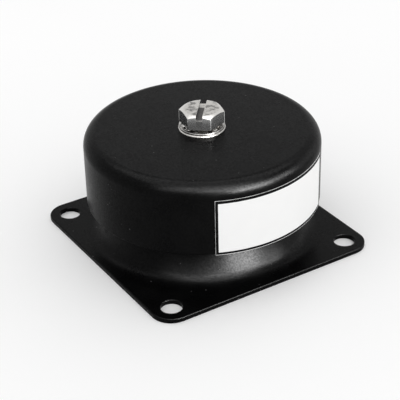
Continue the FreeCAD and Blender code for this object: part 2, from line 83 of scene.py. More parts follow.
class Grain(Enum):
    """How a steel surface was left: the factor along each axis that makes its lines finer."""

    TURNED = (0.4, 0.4, 9.0)
    ROLLED = (6.0, 0.5, 2.0)
    PLATED = (2.0, 2.0, 2.0)


class Glow(Enum):
    """Which pieces a lit card is mirrored in."""

    PAINT = "mirrored_in_paint"
    STEEL = "mirrored_in_steel"

    def receivers(self) -> bpy.types.Collection:
        """Return the collection of the pieces that mirror such cards."""
        found = bpy.data.collections.get(self.value)
        return found or bpy.data.collections.new(self.value)


class Card(NamedTuple):
    """A lit card that only shows mirrored.

    Its azimuth is in degrees from the camera's and its elevation in degrees above the floor.
    """

    name: str
    glow: Glow
    azimuth: float
    elevation: float
    width: float
    height: float
    radiance: float


class Station(NamedTuple):
    """A place on the outline that a section is swept along, with its outward direction."""

    x: float
    y: float
    out_x: float
    out_y: float


class SectionPoint(NamedTuple):
    """A point of a section, with the outward normal of the surface there."""

    out: float
    up: float
    normal_out: float
    normal_up: float


class Corner(NamedTuple):
    """A corner of a section and the radius that it is rounded to."""

    out: float
    up: float
    radius: float


class NodeBox:
    """The box of one CAD node at rest, read from the frame."""

    def __init__(self, node: str) -> None:
        """Read the box.

        Args:
            node: the CAD node's name.
        """
        self.low, self.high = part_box(node)

    @property
    def bottom(self) -> float:
        """Level of the lowest point."""
        return self.low.z

    @property
    def top(self) -> float:
        """Level of the highest point."""
        return self.high.z

    @property
    def radius(self) -> float:
        """Half the width along X, which is a round piece's outer radius."""
        return (self.high.x - self.low.x) / 2.0


def rounded_section(corners: Sequence[Corner], closed: bool = True) -> list[SectionPoint]:
    """Round each corner of a section with an arc that meets both of its sides.

    Args:
        corners: the corners in order, with the material on the left.
        closed: whether the last corner joins the first one.

    Returns:
        The section's points, each with its exact normal.
    """
    points: list[SectionPoint] = []
    count = len(corners)
    for number, corner in enumerate(corners):
        here = Vector((corner.out, corner.up))
        before = corners[number - 1]
        after = corners[(number + 1) % count]
        is_end = not closed and number in (0, count - 1)
        if is_end:
            other = after if number == 0 else before
            along = Vector((other.out, other.up)) - here
            along.normalize()
            if number:
                along.negate()
            points.append(SectionPoint(here.x, here.y, along.y, -along.x))
            continue
        arrive = (here - Vector((before.out, before.up))).normalized()
        leave = (Vector((after.out, after.up)) - here).normalized()
        turn = math.atan2(arrive.x * leave.y - arrive.y * leave.x, arrive.dot(leave))
        tangent_length = corner.radius * math.tan(abs(turn) / 2.0)
        side = math.copysign(1.0, turn)
        start = here - arrive * tangent_length
        centre = start + Vector((-arrive.y, arrive.x)) * corner.radius * side
        steps = max(FEWEST_ARC_STEPS, math.ceil(abs(turn) / ARC_STEP))
        for step in range(steps + 1):
            angle = turn * step / steps
            cosine, sine = math.cos(angle), math.sin(angle)
            normal = Vector(
                (arrive.y * cosine + arrive.x * sine, -arrive.x * cosine + arrive.y * sine)
            )
            place = centre + normal * corner.radius * side
            points.append(SectionPoint(place.x, place.y, normal.x, normal.y))
    return points


def spoke(angle: float) -> Vector:
    """Return the level direction at an angle from the X axis."""
    return Vector((math.cos(angle), math.sin(angle), 0.0))


def ring_section(
    inner: float, outer: float, low: float, high: float, radii: Sequence[float]
) -> list[SectionPoint]:
    """Section of a flat ring with four rounded corners.

    Args:
        inner: the ring's inner radius.
        outer: its outer radius.
        low: level of its underside.
        high: level of its upper face.
        radii: radii of the corners, from the inner one at the bottom and outwards.

    Returns:
        The section's points.
    """
    places = ((inner, low), (outer, low), (outer, high), (inner, high))
    return rounded_section([Corner(*place, radius) for place, radius in zip(places, radii)])


def round_stations(count: int, centre: Pair = (0.0, 0.0)) -> list[Station]:
    """Stations round an axis, which a section of radii and heights is turned about.

    Args:
        count: how many stations there are in the full turn.
        centre: where the axis stands.

    Returns:
        The stations, anticlockwise.
    """
    stations = []
    for number in range(count):
        angle = TURN * number / count
        stations.append(Station(*centre, math.cos(angle), math.sin(angle)))
    return stations


def polygon_stations(sides: int, flat_distance: float, corner_radius: float) -> list[Station]:
    """Stations along a regular polygon with rounded corners.

    Args:
        sides: how many sides it has; the first corner lies half a side past the X axis.
        flat_distance: from the middle to each side.
        corner_radius: radius of the corners.

    Returns:
        The stations, anticlockwise, on the outline itself.
    """
    arc_steps = 10
    share = TURN / sides
    corner_distance = (flat_distance - corner_radius) / math.cos(share / 2.0)
    stations = []
    for number in range(sides):
        middle = share * (number + 0.5)
        centre = Vector((math.cos(middle), math.sin(middle))) * corner_distance
        for step in range(arc_steps + 1):
            angle = middle + share * (step / arc_steps - 0.5)
            out = Vector((math.cos(angle), math.sin(angle)))
            place = centre + out * corner_radius
            stations.append(Station(place.x, place.y, out.x, out.y))
    return stations


class Surface:
    """A mesh in the making: points with exact normals, faces and flat coordinates."""

    def __init__(self) -> None:
        """Start an empty surface."""
        self.points: list[Vector] = []
        self.normals: list[Vector] = []
        self.faces: list[tuple[int, ...]] = []
        self.flat_places: list[Pair] = []

    def add_point(self, place: Vector, normal: Vector, flat_place: Pair = (0.0, 0.0)) -> int:
        """Add one point.

        Args:
            place: where it is, in metres.
            normal: the surface's direction there.
            flat_place: its place on the surface laid flat.

        Returns:
            The point's number.
        """
        self.points.append(place)
        self.normals.append(normal)
        self.flat_places.append(flat_place)
        return len(self.points) - 1

    def add_strip(self, first: Sequence[int], second: Sequence[int], closed: bool = True) -> None:
        """Join two rows of points with quads; the surface looks to the right of the rows.

        Args:
            first: the row that the section reaches first.
            second: the next row.
            closed: whether the rows run right round.
        """
        count = len(first)
        for number in range(count if closed else count - 1):
            following = (number + 1) % count
            self.faces.append((first[number], first[following], second[following], second[number]))

    def sweep(
        self, stations: Sequence[Station], section: Sequence[SectionPoint], closed: bool = True
    ) -> list[list[int]]:
        """Sweep a section along closed stations.

        Args:
            stations: the outline to follow.
            section: the section's points.
            closed: whether the section's last point joins its first.

        Returns:
            One row of point numbers for each point of the section.
        """
        rows = []
        for point in section:
            row = []
            for station in stations:
                place = Vector(
                    (
                        station.x + station.out_x * point.out,
                        station.y + station.out_y * point.out,
                        point.up,
                    )
                )
                normal = Vector(
                    (
                        station.out_x * point.normal_out,
                        station.out_y * point.normal_out,
                        point.normal_up,
                    )
                )
                row.append(self.add_point(place, normal))
            rows.append(row)
        for first, second in zip(rows, rows[1:]):
            self.add_strip(first, second)
        if closed:
            self.add_strip(rows[-1], rows[0])
        return rows

    def fill_flat(
        self, outline: Sequence[int], gaps: Sequence[Sequence[int]], facing: Facing
    ) -> None:
        """Fill a level face between an outline and the gaps in it.

        Args:
            outline: the outer row of points, which bulges everywhere.
            gaps: the rows of points round each gap.
            facing: which way the face looks.
        """
        loops = [list(outline), *(list(gap) for gap in gaps)]
        numbers = [number for loop in loops for number in loop]
        loop_of = [index for index, loop in enumerate(loops) for _ in loop]
        edges = []
        start = 0
        for loop in loops:
            count = len(loop)
            edges += [(start + at, start + (at + 1) % count) for at in range(count)]
            start += count
        places = [self.points[number].xy for number in numbers]
        all_triangles, tolerance = 0, 1e-9
        _, _, faces, sources, _, _ = delaunay_2d_cdt(places, edges, [], all_triangles, tolerance)
        for face in faces:
            corners = [sources[corner][0] for corner in face]
            owners = {loop_of[corner] for corner in corners}
            if len(owners) == 1 and owners != {0}:
                continue
            triangle = [numbers[corner] for corner in corners]
            a, b, c = (self.points[number].xy for number in triangle)
            is_left_turn = (b - a).cross(c - a) > 0.0
            if is_left_turn != (facing is Facing.UP):
                triangle.reverse()
            self.faces.append(tuple(triangle))

    def build(self, name: str, turn: float = 0.0, exact_normals: bool = True) -> bpy.types.Object:
        """Make the object.

        Args:
            name: the piece's name.
            turn: angle about the Z axis to turn the piece by.
            exact_normals: use the stored normals, or else split the faces by angle.

        Returns:
            The object, linked to the scene, with its place in its mesh.
        """
        mesh = bpy.data.meshes.new(name)
        mesh.from_pydata([tuple(point) for point in self.points], [], self.faces)
        mesh.validate()
        layer = mesh.uv_layers.new(name="laid_flat")
        for loop in mesh.loops:
            layer.data[loop.index].uv = self.flat_places[loop.vertex_index]
        for polygon in mesh.polygons:
            polygon.use_smooth = True
        if exact_normals:
            mesh.normals_split_custom_set_from_vertices([tuple(n) for n in self.normals])
        else:
            mesh.set_sharp_from_angle(angle=SHARP_ANGLE)
        if turn:
            mesh.transform(Matrix.Rotation(turn, 4, "Z"))
        piece = bpy.data.objects.new(name, mesh)
        bpy.context.scene.collection.objects.link(piece)
        return piece


class Shading:
    """A material's node tree, with short ways to add and join nodes."""

    def __init__(self, name: str) -> None:
        """Start a material with one principled shader.

        Args:
            name: the material's name.
        """
        self.material = bpy.data.materials.new(name)
        self.material.use_nodes = True
        self.tree = self.material.node_tree
        self.shader = self.tree.nodes["Principled BSDF"]

    def node(self, kind: str, **settings: object) -> bpy.types.Node:
        """Add a node.

        Args:
            kind: its type, without the leading ShaderNode.
            settings: properties of the node.

        Returns:
            The node.
        """
        added = self.tree.nodes.new("ShaderNode" + kind)
        for name, value in settings.items():
            setattr(added, name, value)
        return added

    def join(self, source: Socket, target: Socket) -> None:
        """Link an output to an input."""
        self.tree.links.new(source, target)

    def millimetres(self, stretch: Triple = (1.0, 1.0, 1.0)) -> Socket:
        """Object coordinates in millimetres.

        Args:
            stretch: factor along each axis, which makes a pattern finer along it.

        Returns:
            The vector output.
        """
        place = self.node("TexCoord")
        scale = self.node("Mapping")
        scale.inputs["Scale"].default_value = [factor / MM for factor in stretch]
        self.join(place.outputs["Object"], scale.inputs["Vector"])
        return scale.outputs["Vector"]

    def noise(
        self, where: Socket, size: float, detail: float = 2.0, roughness: float = 0.5
    ) -> Socket:
        """Noise with patches of a given size.

        Args:
            where: coordinates in millimetres.
            size: how large the patches are, in millimetres.
            detail: how many finer layers it has.
            roughness: how strong the finer layers are.

        Returns:
            The value output, from 0 to 1.
        """
        pattern = self.node("TexNoise")
        pattern.inputs["Scale"].default_value = 1.0 / size
        pattern.inputs["Detail"].default_value = detail
        pattern.inputs["Roughness"].default_value = roughness
        self.join(where, pattern.inputs["Vector"])
        return pattern.outputs["Fac"]

    def ramp(self, value: Socket, source: Pair, target: Pair = (0.0, 1.0)) -> Socket:
        """Map a value's range to another one, smoothly and with held ends.

        Args:
            value: the value to map.
            source: the range of the value that is mapped.
            target: what the ends of that range become.

        Returns:
            The mapped value.
        """
        mapped = self.node("MapRange", interpolation_type="SMOOTHSTEP")
        names = ("From Min", "From Max", "To Min", "To Max")
        for name, number in zip(names, (*source, *target)):
            mapped.inputs[name].default_value = number
        self.join(value, mapped.inputs["Value"])
        return mapped.outputs["Result"]

    def split(self, vector: Socket) -> bpy.types.Node:
        """Split a vector into its parts.

        Args:
            vector: the vector.

        Returns:
            A node with the outputs X, Y and Z.
        """
        parts = self.node("SeparateXYZ")
        self.join(vector, parts.inputs["Vector"])
        return parts

    def laid_flat(self) -> bpy.types.Node:
        """Return a node with the outputs X and Y, the place on the surface laid flat."""
        return self.split(self.node("UVMap", uv_map="laid_flat").outputs["UV"])

    def arithmetic(
        self, operation: str, first: Socket | float, second: Socket | float = 0.0
    ) -> Socket:
        """Join two values with a math node.

        Args:
            operation: the math node's operation.
            first: a socket or a number.
            second: a socket or a number.

        Returns:
            The result.
        """
        result = self.node("Math", operation=operation)
        for index, value in enumerate((first, second)):
            if isinstance(value, (int, float)):
                result.inputs[index].default_value = value
            else:
                self.join(value, result.inputs[index])
        return result.outputs["Value"]

    def mix_colours(
        self,
        share: Socket,
        first: Socket | Sequence[float],
        second: Socket | Sequence[float],
    ) -> Socket:
        """Mix two colours by a value from 0 to 1.

        Args:
            share: how much of the second colour shows.
            first: a colour output, or red, green and blue.
            second: a colour output, or red, green and blue.

        Returns:
            The colour output.
        """
        mixed = self.node("Mix", data_type="RGBA")
        for colour, target in ((first, mixed.inputs["A"]), (second, mixed.inputs["B"])):
            if isinstance(colour, Socket):
                self.join(colour, target)
            else:
                target.default_value = (*colour, 1.0)
        self.join(share, mixed.inputs["Factor"])
        return mixed.outputs["Result"]

    def mottle(self, pattern: Socket, source: Pair, first: Colour, second: Colour) -> Socket:
        """Mix two colours by a range of a pattern."""
        return self.mix_colours(self.ramp(pattern, source), first, second)

    def multiply(self, product: Socket | None, factor: Socket) -> Socket:
        """Multiply a running product by one more factor.

        Args:
            product: the product so far, or None before the first factor.
            factor: the next factor.

        Returns:
            The new product.
        """
        if product is None:
            return factor
        return self.arithmetic("MULTIPLY", product, factor)

    def mix_values(self, share: Socket, first: Socket, second: Socket) -> Socket:
        """Mix two values by a value from 0 to 1.

        Args:
            share: how much of the second value there is.
            first: the value at 0.
            second: the value at 1.

        Returns:
            The mixed value.
        """
        difference = self.arithmetic("SUBTRACT", second, first)
        part = self.arithmetic("MULTIPLY", difference, share)
        return self.arithmetic("ADD", first, part)

    def bump(self, height: Socket, depth: float, under: Socket | None = None) -> Socket:
        """Raise the surface by a pattern.

        Args:
            height: the pattern, from 0 to 1.
            depth: how high it stands, in metres.
            under: the normal of the layer below.

        Returns:
            The normal output.
        """
        raised = self.node("Bump")
        raised.inputs["Distance"].default_value = depth
        self.join(height, raised.inputs["Height"])
        if under is not None:
            self.join(under, raised.inputs["Normal"])
        return raised.outputs["Normal"]

    def set_shader(self, **values: float | Sequence[float]) -> None:
        """Set the shader's own sockets; underscores in a name stand for spaces."""
        for name, value in values.items():
            self.shader.inputs[name.replace("_", " ")].default_value = value

    def use(self, **sources: Socket) -> bpy.types.Material:
        """Link outputs to the shader's sockets.

        Args:
            sources: the outputs, under the sockets' names with underscores for spaces.

        Returns:
            The finished material.
        """
        for name, source in sources.items():
            self.join(source, self.shader.inputs[name.replace("_", " ")])
        return self.material


@dataclass(frozen=True)
class SatinPaint:
    """Baked black paint: faint orange peel, a fine grain and a few specks of dust."""

    glow: ClassVar[Glow] = Glow.PAINT

    name: str
    slot: str
    colour: Colour = (0.0014, 0.0014, 0.0015)
    worn_colour: Colour = (0.0024, 0.0024, 0.0025)
    speck_colour: Colour = (0.09, 0.09, 0.09)
    sheen_range: Pair = (0.028, 0.048)
    gloss_range: Pair = (0.26, 0.31)
    cloud_size: float = 7.0
    peel_size: float = 1.1
    peel_depth: float = 0.004 * MM
    grain_size: float = 0.42
    grain_depth: float = 0.008 * MM
    speck_spacing: float = 3.4
    speck_radius: float = 0.09

    def build(self) -> bpy.types.Material:
        """Make the material.

        Returns:
            The finished material.
        """
        shading = Shading(self.name)
        where = shading.millimetres()
        cloud = shading.noise(where, self.cloud_size, detail=3.0)
        peel = shading.noise(where, self.peel_size, detail=1.0)
        grain = shading.noise(where, self.grain_size, roughness=0.6)
        specks = shading.node("TexVoronoi")
        specks.inputs["Scale"].default_value = 1.0 / self.speck_spacing
        shading.join(where, specks.inputs["Vector"])
        reach = self.speck_radius / self.speck_spacing
        speck = shading.ramp(specks.outputs["Distance"], (reach, 2.0 * reach), (1.0, 0.0))
        mottled = shading.mottle(cloud, NOISE_SPREAD, self.colour, self.worn_colour)
        normal = shading.bump(peel, self.peel_depth)
        return shading.use(
            Base_Color=shading.mix_colours(speck, mottled, self.speck_colour),
            Roughness=shading.ramp(cloud, NOISE_SPREAD, self.gloss_range),
            Specular_IOR_Level=shading.ramp(grain, NOISE_MIDDLE, self.sheen_range),
            Normal=shading.bump(grain, self.grain_depth, under=normal),
        )


@dataclass(frozen=True)
class Steel:
    """Bare or plated steel, with the marks of how it was made."""

    glow: ClassVar[Glow] = Glow.STEEL

    name: str
    slot: str
    grain: Grain
    colour: Colour
    dull_colour: Colour
    gloss_range: Pair
    mark_size: float = 0.8
    cloud_factor: float = 3.0
    mark_depth: float = 0.01 * MM
    line_depth: float = 0.002 * MM

    def build(self) -> bpy.types.Material:
        """Make the material.

        Returns:
            The finished material.
        """
        shading = Shading(self.name)
        where = shading.millimetres()
        along_lines = shading.millimetres(self.grain.value)
        marks = shading.noise(where, self.mark_size, detail=3.0, roughness=0.55)
        lines = shading.noise(along_lines, 1.0, detail=3.0, roughness=0.6)
        cloud = shading.noise(where, self.cloud_factor * self.mark_size)
        normal = shading.bump(marks, self.mark_depth)
        shading.set_shader(Metallic=1.0)
        return shading.use(
            Base_Color=shading.mottle(cloud, NOISE_MIDDLE, self.colour, self.dull_colour),
            Roughness=shading.ramp(marks, NOISE_SPREAD, self.gloss_range),
            Normal=shading.bump(lines, self.line_depth, under=normal),
        )


@dataclass(frozen=True)
class BoltSteel:
    """Bright bolt steel: struck mottled top, turned chamfer, drawn flats, painted shade in the
    slot.
    """

    glow: ClassVar[Glow] = Glow.STEEL

    name: str
    slot: str
    turned_colour: Colour = (0.6, 0.586, 0.563)
    struck_colour: Colour = (0.52, 0.505, 0.48)
    dull_colour: Colour = (0.17, 0.166, 0.16)
    flat_colour: Colour = (0.74, 0.74, 0.73)
    dull_flat_colour: Colour = (0.52, 0.52, 0.515)
    # painted shade: near-black colour for the slot's floor, which lies in shade
    slot_shade_colour: Colour = (0.05, 0.047, 0.045)
    top_gloss: Pair = (0.18, 0.32)
    flat_gloss: Pair = (0.2, 0.27)
    patch_size: float = 1.3
    patch_share: Pair = (0.42, 0.62)
    patch_depth: float = 0.006 * MM
    streaks: Triple = (0.35, 0.35, 5.0)
    streak_depth: float = 0.004 * MM
    flat_tilt: Pair = (0.15, 0.3)
    top_tilt: Pair = (0.88, 0.985)

    def build(self) -> bpy.types.Material:
        """Make the material.

        Returns:
            The finished material.
        """
        shading = Shading(self.name)
        where = shading.millimetres()
        along_streaks = shading.millimetres(self.streaks)
        patches = shading.noise(where, self.patch_size, detail=4.0, roughness=0.6)
        streaks = shading.noise(along_streaks, 1.0, detail=3.0, roughness=0.6)
        struck = shading.mottle(patches, self.patch_share, self.struck_colour, self.dull_colour)
        flat = shading.mottle(streaks, NOISE_MIDDLE, self.flat_colour, self.dull_flat_colour)
        facing = shading.split(shading.node("NewGeometry").outputs["True Normal"])
        tilt = shading.arithmetic("ABSOLUTE", facing.outputs["Z"])
        on_flat = shading.ramp(tilt, self.flat_tilt, (1.0, 0.0))
        on_top = shading.ramp(tilt, self.top_tilt)
        # painted shade on the slot's floor, carried in the first flat coordinate
        slot_shade = shading.laid_flat().outputs["X"]
        colour = shading.mix_colours(on_top, self.turned_colour, struck)
        colour = shading.mix_colours(on_flat, colour, flat)
        normal = shading.bump(patches, self.patch_depth)
        shading.set_shader(Metallic=1.0)
        return shading.use(
            Base_Color=shading.mix_colours(slot_shade, colour, self.slot_shade_colour),
            Roughness=shading.mix_values(
                on_flat,
                shading.ramp(patches, NOISE_SPREAD, self.top_gloss),
                shading.ramp(streaks, NOISE_SPREAD, self.flat_gloss),
            ),
            Normal=shading.bump(streaks, self.streak_depth, under=normal),
        )


@dataclass(frozen=True)
class Rubber:
    """Moulded black rubber with a fine matt grain and a faint bloom."""

    glow: ClassVar[Glow] = Glow.STEEL

    name: str
    slot: str
    colour: Colour = (0.02, 0.02, 0.021)
    bloom_colour: Colour = (0.045, 0.045, 0.044)
    bloom_size: float = 4.0
    bloom_share: Pair = (0.35, 0.75)
    gloss_range: Pair = (0.5, 0.68)
    sheen: float = 0.35
    grain_size: float = 0.25
    grain_depth: float = 0.01 * MM

    def build(self) -> bpy.types.Material:
        """Make the material.

        Returns:
            The finished material.
        """
        shading = Shading(self.name)
        where = shading.millimetres()
        bloom = shading.noise(where, self.bloom_size, detail=4.0)
        grain = shading.noise(where, self.grain_size, detail=3.0)
        shading.set_shader(Specular_IOR_Level=self.sheen)
        return shading.use(
            Base_Color=shading.mottle(bloom, self.bloom_share, self.colour, self.bloom_colour),
            Roughness=shading.ramp(bloom, NOISE_SPREAD, self.gloss_range),
            Normal=shading.bump(grain, self.grain_depth),
        )


@dataclass(frozen=True)
class LabelFilm:
    """White film with a black border line inside a narrow white margin.

    The margins and lines are those on the left, on the right, below and above.
    """

    glow: ClassVar[Glow] = Glow.STEEL

    name: str
    slot: str
    width: float
    height: float
    margins: tuple[float, ...] = (0.05 * MM, 0.05 * MM, 0.12 * MM, 0.02 * MM)
    lines: tuple[float, ...] = (0.7 * MM, 0.7 * MM, 0.62 * MM, 0.76 * MM)
    ragged: float = 0.025 * MM
    ragged_size: float = 1.6
    blur: float = 0.02 * MM
    film_colour: Colour = (0.96, 0.96, 0.955)
    dull_film_colour: Colour = (0.93, 0.93, 0.925)
    ink_colour: Colour = (0.003, 0.003, 0.003)
    cloud_size: float = 5.0
    gloss_range: Pair = (0.42, 0.55)
    sheen: float = 0.06
    fibre_size: float = 0.3
    fibre_depth: float = 0.002 * MM

    def border(self, shading: Shading) -> Socket:
        """Draw the border line.

        Args:
            shading: the node tree to draw it in.

        Returns:
            How much ink there is, from 0 to 1.
        """
        place = shading.laid_flat()
        uneven = shading.noise(shading.millimetres(), self.ragged_size, detail=3.0)
        wobble = shading.ramp(uneven, NOISE_SPREAD, (0.0, self.ragged))
        from_left, from_bottom = place.outputs["X"], place.outputs["Y"]
        distances = (
            from_left,
            shading.arithmetic("SUBTRACT", self.width, from_left),
            from_bottom,
            shading.arithmetic("SUBTRACT", self.height, from_bottom),
        )
        past_margin: Socket | None = None
        past_line: Socket | None = None
        for distance, margin, line in zip(distances, self.margins, self.lines):
            shifted = shading.arithmetic("ADD", distance, wobble)
            end = margin + line
            outer = shading.ramp(shifted, (margin, margin + self.blur))
            inner = shading.ramp(shifted, (end, end + self.blur))
            past_margin = shading.multiply(past_margin, outer)
            past_line = shading.multiply(past_line, inner)
        return shading.arithmetic("SUBTRACT", past_margin, past_line)

    def build(self) -> bpy.types.Material:
        """Make the material.

        Returns:
            The finished material.
        """
        shading = Shading(self.name)
        where = shading.millimetres()
        cloud = shading.noise(where, self.cloud_size, detail=3.0)
        fibre = shading.noise(where, self.fibre_size, detail=3.0)
        film = shading.mix_colours(cloud, self.film_colour, self.dull_film_colour)
        shading.set_shader(Specular_IOR_Level=self.sheen)
        return shading.use(
            Base_Color=shading.mix_colours(self.border(shading), film, self.ink_colour),
            Roughness=shading.ramp(fibre, NOISE_SPREAD, self.gloss_range),
            Normal=shading.bump(fibre, self.fibre_depth),
        )


def finish_piece(
    piece: bpy.types.Object,
    finish: SatinPaint | Steel | BoltSteel | Rubber | LabelFilm,
    body: str | None,
    *replaced: str,
) -> bpy.types.Object:
    """Dress a new piece, hang it on its body and hide the CAD nodes that it replaces.

    Args:
        piece: the object.
        finish: its finish.
        body: the CAD body that it rides on, or None to leave it unattached.
        replaced: the CAD nodes that it replaces.

    Returns:
        The piece.
    """
    piece.data.materials.clear()
    piece.data.materials.append(finish.build())
    finish.glow.receivers().objects.link(piece)
    if body is not None:
        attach(piece, body)
    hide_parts(*replaced)
    log.info("%s: %d faces", piece.name, len(piece.data.polygons))
    return piece


@dataclass
class Housing:
    """The drawn housing: square foot, flare, neck and lip from one sheet."""

    paint: SatinPaint = SatinPaint("housing_satin_black", "housing_paint")
    sheet: float = 1.2 * MM
    foot_corner_radius: float = 5.4 * MM
    foot_edge_radius: float = 0.27 * MM
    burr_radius: float = 0.1 * MM
    hole_offset: float = 26.0 * MM
    hole_radius: float = 2.7 * MM
    hole_edge_radius: float = 0.25 * MM
    hole_steps: int = 48
    neck_radius: float = 22.0 * MM
    flare_margin: float = 1.4 * MM
    flare_radius: float = 5.0 * MM
    flare_lean: float = math.radians(34.0)
    wall_bend_radius: float = 30.0 * MM
    wall_lean: float = math.radians(24.8)
    neck_bend_radius: float = 8.1 * MM
    lip_bend_radius: float = 2.5 * MM
    lip_bore_radius: float = 17.1 * MM
    lip_edge_radius: float = 0.2 * MM
    turn_steps: int = 192

    def flare_corners(self, rim: float, level: float, neck: float) -> list[Corner]:
        """Corners that the wall turns at, from the flat of the foot up to the neck.

        Args:
            rim: radius where the foot stops being flat.
            level: height of this face of the sheet on the foot.
            neck: radius of this face of the sheet on the neck.

        Returns:
            The flare's corner, the wall's bend and the bend into the neck.
        """
        inset = self.sheet - level
        flare = self.flare_radius + inset
        wall = self.wall_bend_radius + inset
        flare_reach = flare * math.tan((math.pi / 2.0 - self.flare_lean) / 2.0)
        wall_reach = wall * math.tan((self.flare_lean - self.wall_lean) / 2.0)
        foot = rim - flare_reach
        bend = foot - (flare_reach + wall_reach) * math.sin(self.flare_lean)
        bend_level = level + (flare_reach + wall_reach) * math.cos(self.flare_lean)
        top = bend_level + (bend - neck) / math.tan(self.wall_lean)
        return [
            Corner(foot, level, flare),
            Corner(bend, bend_level, wall),
            Corner(neck, top, self.neck_bend_radius + inset),
        ]

    def foot_section(self) -> list[SectionPoint]:
        """Section of the foot's outer edge.

        Returns:
            The section, from the underside to the upper face.
        """
        inset = -1.1 * self.foot_edge_radius
        corners = [
            Corner(inset, 0.0, 0.0),
            Corner(0.0, 0.0, self.burr_radius),
            Corner(0.0, self.sheet, self.foot_edge_radius),
            Corner(inset, self.sheet, 0.0),
        ]
        return rounded_section(corners, closed=False)

    def hole_section(self) -> list[SectionPoint]:
        """Section of a hole's edge.

        Returns:
            The section, from the upper face to the underside.
        """
        rim = self.hole_radius + 2.0 * self.hole_edge_radius
        corners = [
            Corner(rim, self.sheet, 0.0),
            Corner(self.hole_radius, self.sheet, self.hole_edge_radius),
            Corner(self.hole_radius, 0.0, self.burr_radius),
            Corner(rim, 0.0, 0.0),
        ]
        return rounded_section(corners, closed=False)

    def neck_section(self, rim: float, top: float) -> list[SectionPoint]:
        """Section of the flare, wall, neck and lip, with both faces of the sheet.

        Args:
            rim: radius where the foot stops being flat.
            top: level of the lip's upper face.

        Returns:
            The section, from the foot's upper face round the lip to its underside.
        """
        bore = self.neck_radius - self.sheet
        under_lip = top - self.sheet
        corners = [
            Corner(rim, self.sheet, 0.0),
            *self.flare_corners(rim, self.sheet, self.neck_radius),
            Corner(self.neck_radius, top, self.lip_bend_radius),
            Corner(self.lip_bore_radius, top, self.lip_edge_radius),
            Corner(self.lip_bore_radius, under_lip, self.burr_radius),
            Corner(bore, under_lip, self.lip_bend_radius - self.sheet),
            *reversed(self.flare_corners(rim, 0.0, bore)),
            Corner(rim, 0.0, 0.0),
        ]
        return rounded_section(corners, closed=False)

    def build(self) -> None:
        """Build and dress the housing: edge, holes and neck, joined by two flat faces."""
        box = NodeBox("base_housing")
        surface = Surface()
        outline = polygon_stations(4, box.radius, self.foot_corner_radius)
        foot = surface.sweep(outline, self.foot_section(), closed=False)
        hole_section = self.hole_section()
        offsets = (-self.hole_offset, self.hole_offset)
        openings = [
            surface.sweep(round_stations(self.hole_steps, (x, y)), hole_section, closed=False)
            for x in offsets
            for y in offsets
        ]
        neck_section = self.neck_section(box.radius - self.flare_margin, box.top)
        neck_stations = round_stations(self.turn_steps)
        openings.append(surface.sweep(neck_stations, neck_section, closed=False))
        surface.fill_flat(foot[-1], [rows[0] for rows in openings], Facing.UP)
        surface.fill_flat(foot[0], [rows[-1] for rows in openings], Facing.DOWN)
        finish_piece(surface.build("housing_shell"), self.paint, "base", "base_housing")


@dataclass
class Cap:
    """The pressed bell that covers the neck, and the label on its side."""

    paint: SatinPaint = SatinPaint("cap_satin_black", "cap_paint")
    sheet: float = 1.2 * MM
    edge_radius: float = 3.5 * MM
    rim_radius: float = 0.3 * MM
    burr_radius: float = 0.12 * MM
    hole_radius: float = 3.2 * MM
    turn_steps: int = 256
    label_steps: int = 96
    label_rise: float = 0.25 * MM
    label_edge_radius: float = 0.05 * MM

    def build_bell(self) -> None:
        """Build and dress the bell."""
        box = NodeBox("cap")
        bore = box.radius - self.sheet
        underside = box.top - self.sheet
        section = rounded_section(
            [
                Corner(bore, box.bottom, self.burr_radius),
                Corner(box.radius, box.bottom, self.rim_radius),
                Corner(box.radius, box.top, self.edge_radius),
                Corner(self.hole_radius, box.top, self.burr_radius),
                Corner(self.hole_radius, underside, self.burr_radius),
                Corner(bore, underside, self.edge_radius - self.sheet),
            ]
        )
        surface = Surface()
        surface.sweep(round_stations(self.turn_steps), section)
        finish_piece(surface.build("cap_bell"), self.paint, "suspended", "cap")

    def build_label(self) -> None:
        """Build and dress the label, a thin film wrapped on the bell's side."""
        box = NodeBox("label_plate")
        corners = [vertex.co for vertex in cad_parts["label_plate"].data.vertices]
        outer = max(corner.xy.length for corner in corners)
        inner = NodeBox("cap").radius
        angles = [math.atan2(corner.y, corner.x) for corner in corners]
        start = min(angles)
        sweep = max(angles) - start
        width = sweep * outer
        height = box.top - box.bottom
        film = LabelFilm("label_white_film", "label_film", width, height)
        edge = self.label_edge_radius
        radii = (edge / 2.0, edge, edge, edge / 2.0)
        section = ring_section(inner, outer, box.bottom, box.top, radii)
        surface = Surface()
        rows = []
        for point in section:
            row = []
            for step in range(self.label_steps + 1):
                share = step / self.label_steps
                angle = start + sweep * share
                out = spoke(angle)
                level = point.up + self.label_rise * (share - 0.5)
                place = out * point.out + UP * level
                normal = out * point.normal_out + UP * point.normal_up
                laid = (width * share, point.up - box.bottom)
                row.append(surface.add_point(place, normal, laid))
            rows.append(row)
        for first, second in zip(rows, rows[1:] + rows[:1]):
            surface.add_strip(first, second, closed=False)
        surface.faces.append(tuple(row[0] for row in rows))
        surface.faces.append(tuple(row[-1] for row in reversed(rows)))
        finish_piece(surface.build("label_film_sheet"), film, "suspended", "label_plate")

    def build(self) -> None:
        """Build the bell and its label."""
        self.build_bell()
        self.build_label()


